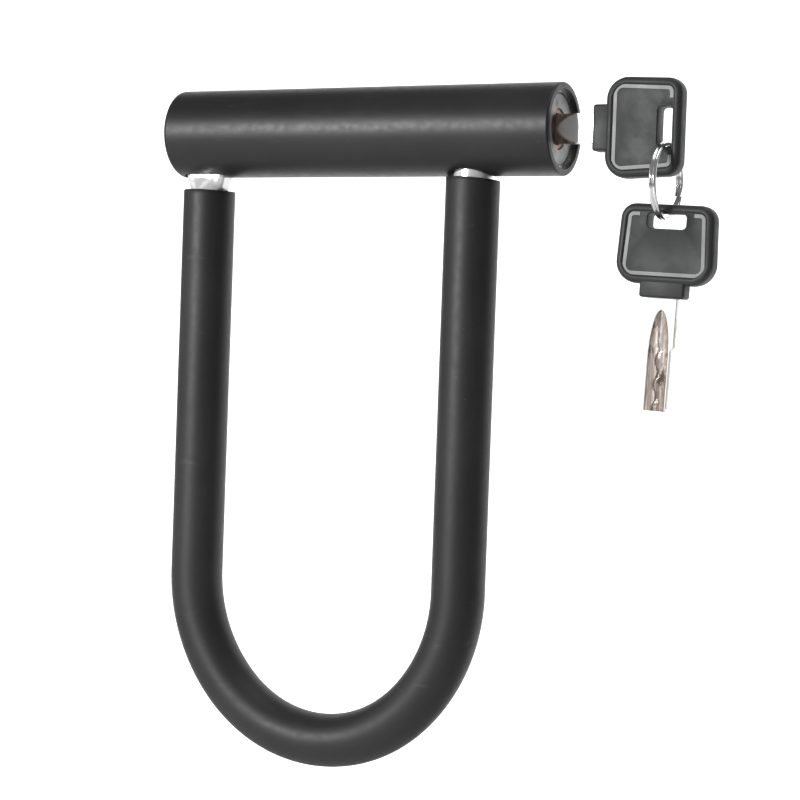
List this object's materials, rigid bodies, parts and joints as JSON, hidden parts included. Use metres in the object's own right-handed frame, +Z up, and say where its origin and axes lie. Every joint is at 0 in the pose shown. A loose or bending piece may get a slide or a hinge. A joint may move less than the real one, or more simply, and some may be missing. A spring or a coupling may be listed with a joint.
{
  "type": "u lock",
  "caption": "Bicycle U lock: a rubber-sleeved crossbar with a key cylinder, a bent steel shackle, and keys on a split ring.",
  "frame": {"origin": "middle of the crossbar's axis", "axes": "+X along the crossbar to the key end, +Z up, the shackle hangs to -Z"},
  "size_m": [0.1811, 0.028, 0.2148],
  "materials": {
    "bar_rubber": "matte, faintly scuffed",
    "leg_rubber": "matte vinyl sleeve with fine dust specks",
    "bare_steel": "polished with a ground side",
    "tube_steel": "bright cut end",
    "zinc": "matte die-cast zinc",
    "plug_brass": "worn, dull",
    "pin_brass": "turned",
    "spring_steel": "plain",
    "hard_steel": "oiled",
    "inner_plastic": "moulded nylon",
    "key_plastic": "fine moulded texture",
    "key_line": "satin pale line",
    "key_steel": "nickel plate with milled grooves",
    "ring_chrome": "polished wire"
  },
  "bodies": {
    "crossbar": {"crossbar_sleeve": "bar_rubber", "crossbar_tube": "tube_steel", "end_cap": "tube_steel", "lock_housing": "zinc", "housing_pins": "hard_steel", "driver_pins": "pin_brass", "driver_springs": "spring_steel", "spring_cover": "pin_brass", "guide_block": "inner_plastic", "guide_pins": "hard_steel", "leg_bush_left": "inner_plastic", "leg_bush_right": "inner_plastic"},
    "plug": {"lock_plug": "plug_brass", "key_pins": "pin_brass", "plug_clip": "spring_steel"},
    "bolt_shaft": {"bolt_right": "hard_steel", "bolt_left": "hard_steel", "tie_rod": "hard_steel"},
    "shackle": {"shackle_rod": "bare_steel", "shackle_sleeve": "leg_rubber"},
    "key": {"key_blade": "key_steel", "key_bow": "key_plastic", "key_inlay": "key_line"},
    "ring": {"split_ring": "ring_chrome"},
    "spare_key": {"spare_blade": "key_steel", "spare_bow": "key_plastic", "spare_inlay": "key_line"}
  },
  "joints": [
    {"name": "key_turn", "type": "hinge", "parent": "crossbar", "child": "plug", "pos_m": [0.055, 0, 0], "axis": [1, 0, 0], "range_deg": [0, 90]},
    {"name": "bolt_turn", "type": "hinge", "parent": "crossbar", "child": "bolt_shaft", "pos_m": [0, 0, 0], "axis": [1, 0, 0], "range_deg": [0, 90]},
    {"name": "shackle_pull", "type": "slide", "parent": "crossbar", "child": "shackle", "axis": [0, 0, -1], "range_m": [0, 0.05]},
    {"name": "key_withdraw", "type": "slide", "parent": "plug", "child": "key", "axis": [1, 0, 0], "range_m": [0, 0.03]},
    {"name": "ring_swing", "type": "hinge", "parent": "key", "child": "ring", "pos_m": [0.0989, 0, -0.00475], "axis": [0, 1, 0], "range_deg": [-12, 12]},
    {"name": "spare_swing", "type": "hinge", "parent": "ring", "child": "spare_key", "pos_m": [0.0989, 0, -0.02665], "axis": [0, 1, 0], "range_deg": [-30, 17]}
  ],
  "couplings": [
    {"joint": "bolt_turn", "follows": "key_turn", "ratio": 1}
  ]
}
